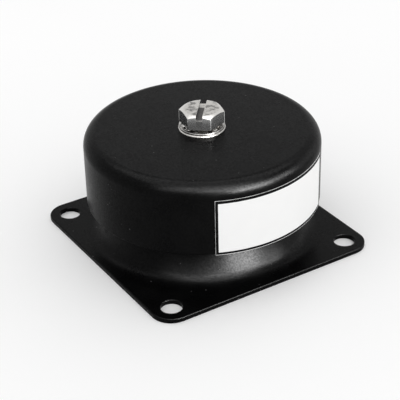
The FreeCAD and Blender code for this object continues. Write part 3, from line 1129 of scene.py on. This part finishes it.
@dataclass
class Fastening:
    """The slotted hex bolt and the two washers under its head."""

    bolt_steel: BoltSteel = BoltSteel("bright_bolt_steel", "bright_bolt")
    washer_steel: Steel = Steel(
        "bright_washer_steel",
        "bright_washer",
        Grain.ROLLED,
        (0.56, 0.546, 0.525),
        (0.42, 0.41, 0.393),
        (0.22, 0.28),
        mark_depth=0.002 * MM,
    )
    tooth_steel: Steel = Steel(
        "lock_washer_steel",
        "toothed_washer_steel",
        Grain.ROLLED,
        (0.46, 0.45, 0.435),
        (0.3, 0.293, 0.285),
        (0.24, 0.34),
        mark_depth=0.003 * MM,
    )
    across_flats: float = 10.0 * MM
    bolt_turn: float = math.radians(-40.1)
    corner_radius: float = 0.18 * MM
    crown_radius: float = 4.3 * MM
    chamfer_angle: float = math.radians(30.0)
    crown_blend: float = 0.22 * MM
    rim_radius: float = 0.1 * MM
    rim_shares: tuple[float, ...] = (0.0, 0.12, 0.35, 0.65, 1.0)
    rim_fade: float = 4.0
    under_edge_radius: float = 0.08 * MM
    head_columns: int = 60
    side_rows: int = 56
    slot_width: float = 1.6 * MM
    slot_depth: float = 1.5 * MM
    slot_edge_radius: float = 0.09 * MM
    slot_edge_steps: int = 4
    # lengths of the slot's floor at each end that are left without painted shade
    lit_near_end: float = 0.5 * MM
    lit_far_end: float = 2.0 * MM
    dent_seed: float = 7.0 * MM
    dent_size: float = 1.1 * MM
    dent_depth: float = 0.02 * MM
    pitch: float = 1.0 * MM
    thread_radius: float = 3.0 * MM
    thread_depth: float = 0.6 * MM
    flank_slope: float = 1.35
    crest_share: float = 0.1
    lead_in: float = 0.8 * MM
    shank_columns: int = 48
    rows_per_pitch: int = 10
    clearance_radius: float = 3.2 * MM
    washer_edge_radius: float = 0.36 * MM
    washer_burr_radius: float = 0.1 * MM
    washer_steps: int = 128
    tooth_count: int = 12
    tooth_width: float = 1.27 * MM
    tooth_sheet: float = 0.5 * MM
    tooth_twist: float = math.radians(32.5)
    tooth_turn: float = math.radians(-22.0)
    tooth_ring_width: float = 0.7 * MM
    tooth_edge_radius: float = 0.12 * MM
    tooth_rows: int = 10
    tooth_bend_rate: float = 2.5
    tooth_ring_steps: int = 144

    def build(self) -> None:
        """Build the bolt and the washers."""
        self.build_flat_washer()
        self.build_toothed_washer()
        self.build_bolt()

    def build_flat_washer(self) -> None:
        """Plain washer with its upper edge well rounded."""
        box = NodeBox("flat_washer")
        burr = self.washer_burr_radius
        radii = (burr, burr, self.washer_edge_radius, burr)
        section = ring_section(self.clearance_radius, box.radius, box.bottom, box.top, radii)
        surface = Surface()
        surface.sweep(round_stations(self.washer_steps), section)
        piece = surface.build("flat_washer_ring")
        finish_piece(piece, self.washer_steel, "suspended", "flat_washer")

    def build_toothed_washer(self) -> None:
        """Lock washer: a flat ring whose inner teeth twist up under the head."""
        box = NodeBox("toothed_washer")
        bore = box.radius - self.tooth_ring_width
        ring_top = box.bottom + self.tooth_sheet
        edge = self.tooth_edge_radius
        section = ring_section(bore, box.radius, box.bottom, ring_top, (edge,) * 4)
        surface = Surface()
        surface.sweep(round_stations(self.tooth_ring_steps), section)
        for number in range(self.tooth_count):
            angle = TURN * number / self.tooth_count
            self.add_tooth(surface, angle, bore + edge, box.bottom, box.top - box.bottom)
        piece = surface.build("toothed_washer_ring", self.tooth_turn, exact_normals=False)
        finish_piece(piece, self.tooth_steel, "suspended", "toothed_washer")

    def add_tooth(
        self, surface: Surface, angle: float, root: float, level: float, height: float
    ) -> None:
        """Add one tooth, which leaves the ring flat and is fully twisted before its tip.

        Args:
            surface: the surface to add to.
            angle: the tooth's direction from the middle.
            root: radius where the tooth leaves the ring.
            level: level of the ring's underside.
            height: height from there to the bolt's head.
        """
        axis = spoke(angle)
        side = Vector((-axis.y, axis.x, 0.0))
        half_width, half_sheet = self.tooth_width / 2.0, self.tooth_sheet / 2.0
        corners = ((-1, -1), (1, -1), (1, 1), (-1, 1))
        loops: list[list[int]] = []
        for row in range(self.tooth_rows + 1):
            share = row / self.tooth_rows
            twist = self.tooth_twist * min(1.0, share * self.tooth_bend_rate)
            cosine, sine = math.cos(twist), math.sin(twist)
            reach = root + (self.clearance_radius - root) * share
            tilted = side * cosine + UP * sine
            normal = UP * cosine - side * sine
            rise = min(half_width * sine + half_sheet * cosine, height / 2.0)
            centre = axis * reach + UP * (level + rise)
            loop = []
            for across, over in corners:
                place = centre + tilted * (across * half_width) + normal * (over * half_sheet)
                loop.append(surface.add_point(place, normal * over))
            loops.append(loop)
        for first, second in zip(loops, loops[1:]):
            surface.add_strip(second, first)
        surface.faces.append(tuple(reversed(loops[0])))
        surface.faces.append(tuple(loops[-1]))

    @property
    def flat_distance(self) -> float:
        """Distance from the head's middle to each flat."""
        return self.across_flats / 2.0

    @property
    def corner_distance(self) -> float:
        """Distance from the head's middle to the centre of each corner's rounding."""
        return (self.flat_distance - self.corner_radius) / math.cos(HEX_TURN / 2.0)

    def head_reach(self, across: float) -> float:
        """Half the head's length along the slot at a distance from the slot's middle.

        Args:
            across: distance from the middle of the slot.

        Returns:
            The half length, out to the rounded outline.
        """
        flat = self.flat_distance
        inner = flat - self.corner_radius
        away = abs(across)
        side_corner = inner * math.tan(HEX_TURN / 2.0)
        if away <= side_corner:
            return flat
        if away >= self.corner_distance + self.corner_radius / 2.0:
            left = self.corner_radius**2 - (away - self.corner_distance) ** 2
            return math.sqrt(max(0.0, left))
        if away <= side_corner + self.corner_radius * math.sin(HEX_TURN):
            return inner + math.sqrt(self.corner_radius**2 - (away - side_corner) ** 2)
        return math.tan(HEX_TURN) * (flat / math.sin(HEX_TURN) - away)

    def outline_distance(self, along: float, across: float) -> float:
        """Distance from a point of the head to the nearest of its six sides.

        Args:
            along: distance from the middle along the slot.
            across: distance from the middle across the slot.

        Returns:
            The distance, or 0 outside the head.
        """
        flat = self.flat_distance
        nearest = flat
        for number in range(HEX_SIDES):
            angle = number * TURN / HEX_SIDES
            nearest = min(nearest, flat - along * math.cos(angle) - across * math.sin(angle))
        return max(0.0, nearest)

    def head_level(self, along: float, across: float, top: float) -> float:
        """Level of the head's upper face, without the slot.

        Args:
            along: distance from the middle along the slot.
            across: distance from the middle across the slot.
            top: level of the flat middle.

        Returns:
            The level at that point.
        """
        radius = math.hypot(along, across)
        fall = (radius - self.crown_radius) * math.tan(self.chamfer_angle)
        blend = self.crown_blend
        drop = (fall + math.sqrt(fall * fall + blend * blend)) / 2.0
        dent = noise.noise(Vector((along, across, self.dent_seed)) / self.dent_size)
        level = top - drop - self.dent_depth * (0.5 + 0.5 * dent)
        edge = self.outline_distance(along, across)
        if edge < self.rim_radius:
            share = 1.0 - edge / self.rim_radius
            level -= self.rim_radius * (1.0 - math.sqrt(max(0.0, 1.0 - share * share)))
        return level

    def head_rows(self) -> list[Triple]:
        """Rows of the head's grid, from side to side across the slot.

        Returns:
            For each row the distance from the slot's middle, how far it lies under the
            upper face, and how much of it follows the slot's floor, from 0 to 1.
        """
        half_slot = self.slot_width / 2.0
        edge = self.slot_edge_radius
        tip = self.corner_distance + self.corner_radius
        arc_steps = self.slot_edge_steps
        side: list[Triple] = []
        for number in range(self.side_rows + 1):
            share = number / self.side_rows
            side.append((tip + (half_slot + edge - tip) * share, 0.0, 0.0))
        angles = [math.pi / 2.0 * number / arc_steps for number in range(arc_steps + 1)]
        for angle in angles[1:]:
            across = half_slot + edge * (1.0 - math.sin(angle))
            side.append((across, edge * (1.0 - math.cos(angle)), 0.0))
        for angle in angles:
            across = half_slot - edge * (1.0 - math.cos(angle))
            side.append((across, edge * (1.0 - math.sin(angle)), 1.0))
        side.append((half_slot / 2.0, 0.0, 1.0))
        mirrored = [(-across, drop, floor) for across, drop, floor in side]
        return [*mirrored, (0.0, 0.0, 1.0), *reversed(side)]

    def slot_shade_share(self, along: float) -> float:
        """How much painted shade lies on the slot's floor at a distance from the middle along the
        slot.

        Args:
            along: distance from the middle, away from the slot's brighter end.

        Returns:
            From 0 for bright steel to 1 for dull, sawn steel.
        """
        from_end = self.flat_distance - abs(along)
        bright = self.lit_far_end if along < 0.0 else self.lit_near_end
        return min(1.0, max(0.0, (from_end - bright) / self.lit_near_end))

    def add_head_top(self, surface: Surface, top: float) -> list[int]:
        """Add the head's upper face and the slot in it as one grid.

        Args:
            surface: the surface to add to.
            top: level of the flat middle.

        Returns:
            The row of points round the face.
        """
        insets = [share * self.rim_radius for share in self.rim_shares]
        columns = self.head_columns
        grid: list[list[int]] = []
        for across, drop, floor_share in self.head_rows():
            reach = self.head_reach(across)
            scale = min(1.0, reach / (self.rim_fade * self.rim_radius)) if reach > 0.0 else 0.0
            ends = [inset * scale for inset in insets]
            middle = reach - ends[-1]
            places = [-(reach - inset) for inset in ends[:-1]]
            places += [middle * (2.0 * step / columns - 1.0) for step in range(columns + 1)]
            places += [reach - inset for inset in reversed(ends[:-1])]
            row = []
            for along in places:
                # the slot's floor carries its share of painted shade in the first flat coordinate
                slot_shade = 0.0
                if floor_share:
                    level = top - self.slot_depth + drop
                    slot_shade = self.slot_shade_share(along)
                else:
                    level = self.head_level(along, across, top) - drop
                row.append(surface.add_point(Vector((along, across, level)), UP, (slot_shade, 0.0)))
            grid.append(row)
        for first, second in zip(grid, grid[1:]):
            surface.add_strip(first, second, closed=False)
        near, *between, far = grid
        right = [row[-1] for row in between]
        left = [row[0] for row in reversed(between)]
        return [*near, *right, *reversed(far), *left]

    def add_head_side(self, surface: Surface, rim: Sequence[int], underside: float) -> list[int]:
        """Add the six flats, straight down from the upper face.

        Args:
            surface: the surface to add to.
            rim: the row of points round the upper face.
            underside: level of the head's underside.

        Returns:
            The row of points round the underside.
        """
        edge = self.under_edge_radius
        above = rim
        for inset, level in ((0.0, underside + edge), (edge, underside)):
            row = []
            for number in rim:
                place = surface.points[number]
                factor = 1.0 - inset / max(LEAST_RADIUS, place.xy.length)
                lower = Vector((place.x * factor, place.y * factor, level))
                row.append(surface.add_point(lower, -UP))
            surface.add_strip(row, above)
            above = row
        return above

    def build_bolt(self) -> None:
        """Hex head with a chamfer and a slot, on a threaded shank."""
        box = NodeBox("hex_bolt")
        underside = NodeBox("toothed_washer").top
        surface = Surface()
        rim = self.add_head_top(surface, box.top)
        lower_rim = self.add_head_side(surface, rim, underside)
        shank_top = self.add_shank(surface, box.bottom, underside)
        surface.fill_flat(lower_rim, [shank_top], Facing.DOWN)
        piece = surface.build("slotted_hex_bolt", self.bolt_turn, exact_normals=False)
        finish_piece(piece, self.bolt_steel, "suspended", "hex_bolt")

    def add_shank(self, surface: Surface, bottom: float, top: float) -> list[int]:
        """Add the threaded shank as one helical surface.

        Args:
            surface: the surface to add to.
            bottom: level of the shank's end.
            top: level where it meets the head.

        Returns:
            The shank's uppermost row of points.
        """
        columns = self.shank_columns
        row_count = round((top - bottom) / self.pitch * self.rows_per_pitch)
        rows: list[list[int]] = []
        for number in range(row_count + 1):
            level = bottom + (top - bottom) * number / row_count
            row = []
            for column in range(columns):
                angle = TURN * column / columns
                phase = (level / self.pitch - column / columns) % 1.0
                flank = self.flank_slope * (1.0 - abs(2.0 * phase - 1.0)) - self.crest_share
                depth = max(0.0, min(1.0, flank))
                end_fade = min(1.0, (top - level) / self.pitch)
                cut_back = max(0.0, self.lead_in - (level - bottom))
                radius = self.thread_radius - self.thread_depth * depth * end_fade
                radius = min(radius, self.thread_radius - cut_back)
                out = spoke(angle)
                row.append(surface.add_point(out * radius + UP * level, out))
            rows.append(row)
        for first, second in zip(rows, rows[1:]):
            surface.add_strip(first, second)
        surface.faces.append(tuple(reversed(rows[0])))
        return rows[-1]


@dataclass
class Suspension:
    """What the housing holds inside: rubber spring, core, sleeve, stops and fixings."""

    spring_rubber: Rubber = Rubber("spring_moulded_rubber", "spring_rubber")
    stop_rubber: Rubber = Rubber("stop_moulded_rubber", "stop_rubber", grain_size=0.18)
    plated: Steel = Steel(
        "zinc_plated_steel",
        "plated_steel",
        Grain.PLATED,
        (0.62, 0.61, 0.57),
        (0.5, 0.5, 0.48),
        (0.28, 0.42),
        mark_size=2.0,
        mark_depth=0.004 * MM,
    )
    turned: Steel = Steel(
        "turned_core_steel",
        "turned_steel",
        Grain.TURNED,
        (0.56, 0.55, 0.53),
        (0.47, 0.46, 0.44),
        (0.22, 0.36),
        mark_depth=0.002 * MM,
        line_depth=0.004 * MM,
    )
    spring_steel: Steel = Steel(
        "dark_spring_steel",
        "spring_steel",
        Grain.ROLLED,
        (0.16, 0.155, 0.15),
        (0.1, 0.1, 0.1),
        (0.35, 0.5),
    )
    waist_radius: float = 11.0 * MM
    waist_steps: int = 16
    moulded_edge: float = 0.15 * MM
    inner_radius: float = 7.1 * MM
    head_radius: float = 9.0 * MM
    sleeve_low: float = 13.2 * MM
    sleeve_high: float = 19.2 * MM
    turn_steps: int = 128

    def straight_side(self, start: Pair, end: Pair) -> list[SectionPoint]:
        """Straight side of the rubber's section, cut short for the moulded edges.

        Args:
            start: radius and level where the side begins.
            end: radius and level where it ends, with the rubber on the left.

        Returns:
            The side's two points.
        """
        first, last = Vector(start), Vector(end)
        along = (last - first).normalized()
        trim = along * self.moulded_edge
        ends = (first + trim, last - trim)
        return [SectionPoint(place.x, place.y, along.y, -along.x) for place in ends]

    def hollow_side(self, start: Pair, end: Pair) -> list[SectionPoint]:
        """Hollow side of the rubber's section, an arc that lets the rubber bulge.

        Args:
            start: radius and level where the arc begins.
            end: radius and level where it ends, with the rubber on the left.

        Returns:
            The arc's points.
        """
        first, last = Vector(start), Vector(end)
        chord = last - first
        right = Vector((chord.y, -chord.x)).normalized()
        half = chord.length / 2.0
        centre = (first + last) / 2.0 + right * math.sqrt(self.waist_radius**2 - half**2)
        ray = (first - centre) / self.waist_radius
        trim = self.moulded_edge / self.waist_radius
        sweep = 2.0 * math.asin(half / self.waist_radius) - 2.0 * trim
        points = []
        for step in range(self.waist_steps + 1):
            angle = trim + sweep * step / self.waist_steps
            cosine, sine = math.cos(angle), math.sin(angle)
            out = Vector((ray.x * cosine + ray.y * sine, ray.y * cosine - ray.x * sine))
            place = centre + out * self.waist_radius
            points.append(SectionPoint(place.x, place.y, -out.x, -out.y))
        return points

    def build_spring(self) -> None:
        """Moulded rubber ring, bonded to the core inside and to the sleeve outside."""
        box = NodeBox("rubber_spring")
        core_low = (self.inner_radius, box.bottom)
        core_high = (self.inner_radius, box.top)
        head_edge = (self.head_radius, box.top)
        sleeve_low = (box.radius, self.sleeve_low)
        sleeve_high = (box.radius, self.sleeve_high)
        section = [
            *self.hollow_side(core_low, sleeve_low),
            *self.straight_side(sleeve_low, sleeve_high),
            *self.hollow_side(sleeve_high, head_edge),
            *self.straight_side(head_edge, core_high),
            *self.straight_side(core_high, core_low),
        ]
        surface = Surface()
        surface.sweep(round_stations(self.turn_steps), section)
        piece = surface.build("rubber_spring_ring")
        finish_piece(piece, self.spring_rubber, None, "rubber_spring")
        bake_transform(piece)

    def dress_nodes(self) -> None:
        """Give the pieces that keep their CAD shape their own finishes."""
        finishes = {
            "outer_sleeve": self.plated,
            "retainer_plate": self.plated,
            "rebound_washer": self.plated,
            "core": self.turned,
            "snap_ring": self.spring_steel,
            "bump_ring": self.stop_rubber,
            "rebound_pad": self.stop_rubber,
        }
        built: dict[str, bpy.types.Material] = {}
        for node, finish in finishes.items():
            if finish.name not in built:
                built[finish.name] = finish.build()
            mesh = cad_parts[node].data
            mesh.materials.clear()
            mesh.materials.append(built[finish.name])
            log.info("%s: keeps its shape, finish %s", node, finish.name)

    def build(self) -> None:
        """Build the rubber spring and dress the rest."""
        self.dress_nodes()
        self.build_spring()


@dataclass
class Studio:
    """Floor, light and camera."""

    camera_place: Triple = (0.246414, -0.154185, 0.182790)
    camera_target: Triple = (0.000540, -0.001434, 0.009966)
    camera_roll: float = math.radians(-1.3955)
    lens: float = 117.53
    sensor_width: float = 36.0
    near_clip: float = 10.0 * MM
    floor_side: float = 3.0
    floor_drop: float = 0.02 * MM
    floor_colour: Colour = (0.975, 0.975, 0.975)
    floor_lift: float = 1.02
    floor_patch_size: float = 60.0
    floor_roughness: float = 0.9
    world_strength: float = 1.0
    camera_azimuth: float = 58.15
    card_distance: float = 0.6
    card_aim: Triple = (0.0, 0.0, 0.02)
    cards: tuple[Card, ...] = (
        Card("softbox", Glow.PAINT, 43.0, 19.5, 0.35, 0.22, 122.0),
        Card("softbox_upper", Glow.PAINT, 29.0, 40.5, 0.5, 0.18, 40.0),
        Card("softbox_edge", Glow.PAINT, 20.0, 26.0, 0.14, 0.16, 16.0),
        Card("softbox_side", Glow.PAINT, 74.0, 22.0, 0.3, 0.23, 33.0),
        Card("side_fill", Glow.PAINT, 112.0, 20.0, 0.35, 0.35, 1.2),
        Card("bounce", Glow.PAINT, -22.0, 42.0, 0.4, 0.26, 10.0),
        Card("overhead", Glow.PAINT, 10.0, 62.0, 0.5, 0.2, 18.0),
        Card("ceiling", Glow.PAINT, 0.0, 98.0, 0.9, 0.6, 4.0),
        Card("steel_key", Glow.STEEL, 40.0, 21.0, 0.36, 0.26, 4.0),
        Card("steel_front", Glow.STEEL, 28.0, 31.0, 0.6, 0.24, 14.0),
        Card("steel_overhead", Glow.STEEL, 0.0, 86.0, 0.75, 0.45, 1.5),
    )

    def place_camera(self) -> None:
        """Stand the camera where the photograph was taken from."""
        place = Vector(self.camera_place)
        forward = (Vector(self.camera_target) - place).normalized()
        level_right = forward.cross(UP).normalized()
        level_up = level_right.cross(forward)
        cosine, sine = math.cos(self.camera_roll), math.sin(self.camera_roll)
        right = level_right * cosine + level_up * sine
        up = level_up * cosine - level_right * sine
        data = bpy.data.cameras.new("photo_camera")
        data.lens = self.lens
        data.sensor_width = self.sensor_width
        data.clip_start = self.near_clip
        camera = bpy.data.objects.new("photo_camera", data)
        axes = Matrix((right, up, -forward)).transposed().to_4x4()
        camera.matrix_world = Matrix.Translation(place) @ axes
        bpy.context.scene.collection.objects.link(camera)
        bpy.context.scene.camera = camera

    def lay_floor(self) -> None:
        """Lay a plain pale floor."""
        half = self.floor_side / 2.0
        mesh = bpy.data.meshes.new("floor")
        mesh.from_pydata(
            [(-half, -half, 0.0), (half, -half, 0.0), (half, half, 0.0), (-half, half, 0.0)],
            [],
            [(0, 1, 2, 3)],
        )
        floor = bpy.data.objects.new("floor", mesh)
        floor.location.z = -self.floor_drop
        bpy.context.scene.collection.objects.link(floor)
        shading = Shading("pale_floor")
        cloud = shading.noise(shading.millimetres(), self.floor_patch_size)
        brighter = tuple(min(1.0, part * self.floor_lift) for part in self.floor_colour)
        colour = shading.mix_colours(cloud, self.floor_colour, brighter)
        shading.set_shader(Roughness=self.floor_roughness, Specular_IOR_Level=0.0)
        floor.data.materials.append(shading.use(Base_Color=colour))

    def add_light(self) -> None:
        """Light the object with an even white surround and the lit cards."""
        world = bpy.data.worlds.new("studio")
        world.use_nodes = True
        background = world.node_tree.nodes["Background"]
        background.inputs["Color"].default_value = (1.0, 1.0, 1.0, 1.0)
        background.inputs["Strength"].default_value = self.world_strength
        bpy.context.scene.world = world
        for card in self.cards:
            self.hang_card(card)

    def hang_card(self, card: Card) -> None:
        """Hang one lit card round the object, facing it.

        Args:
            card: its place, size and radiance.
        """
        data = bpy.data.lights.new(card.name, "AREA")
        data.shape = "RECTANGLE"
        data.size, data.size_y = card.width, card.height
        data.energy = card.radiance * card.width * card.height * math.pi
        azimuth = math.radians(self.camera_azimuth + card.azimuth)
        elevation = math.radians(card.elevation)
        direction = Vector(
            (
                math.sin(azimuth) * math.cos(elevation),
                -math.cos(azimuth) * math.cos(elevation),
                math.sin(elevation),
            )
        )
        lamp = bpy.data.objects.new(card.name, data)
        lamp.location = direction * self.card_distance + Vector(self.card_aim)
        lamp.rotation_euler = direction.to_track_quat("Z", "Y").to_euler()
        lamp.visible_diffuse = False
        lamp.light_linking.receiver_collection = card.glow.receivers()
        bpy.context.scene.collection.objects.link(lamp)

    def build(self) -> None:
        """Set up the view, the floor and the light."""
        bpy.context.scene.view_settings.view_transform = "Standard"
        self.place_camera()
        self.lay_floor()
        self.add_light()


def main() -> None:
    """Build each sub-assembly in order."""
    logging.basicConfig(level=logging.INFO, format="%(name)s: %(message)s")
    Studio().build()
    Housing().build()
    Cap().build()
    Fastening().build()
    Suspension().build()


if __name__ == "__main__":
    main()
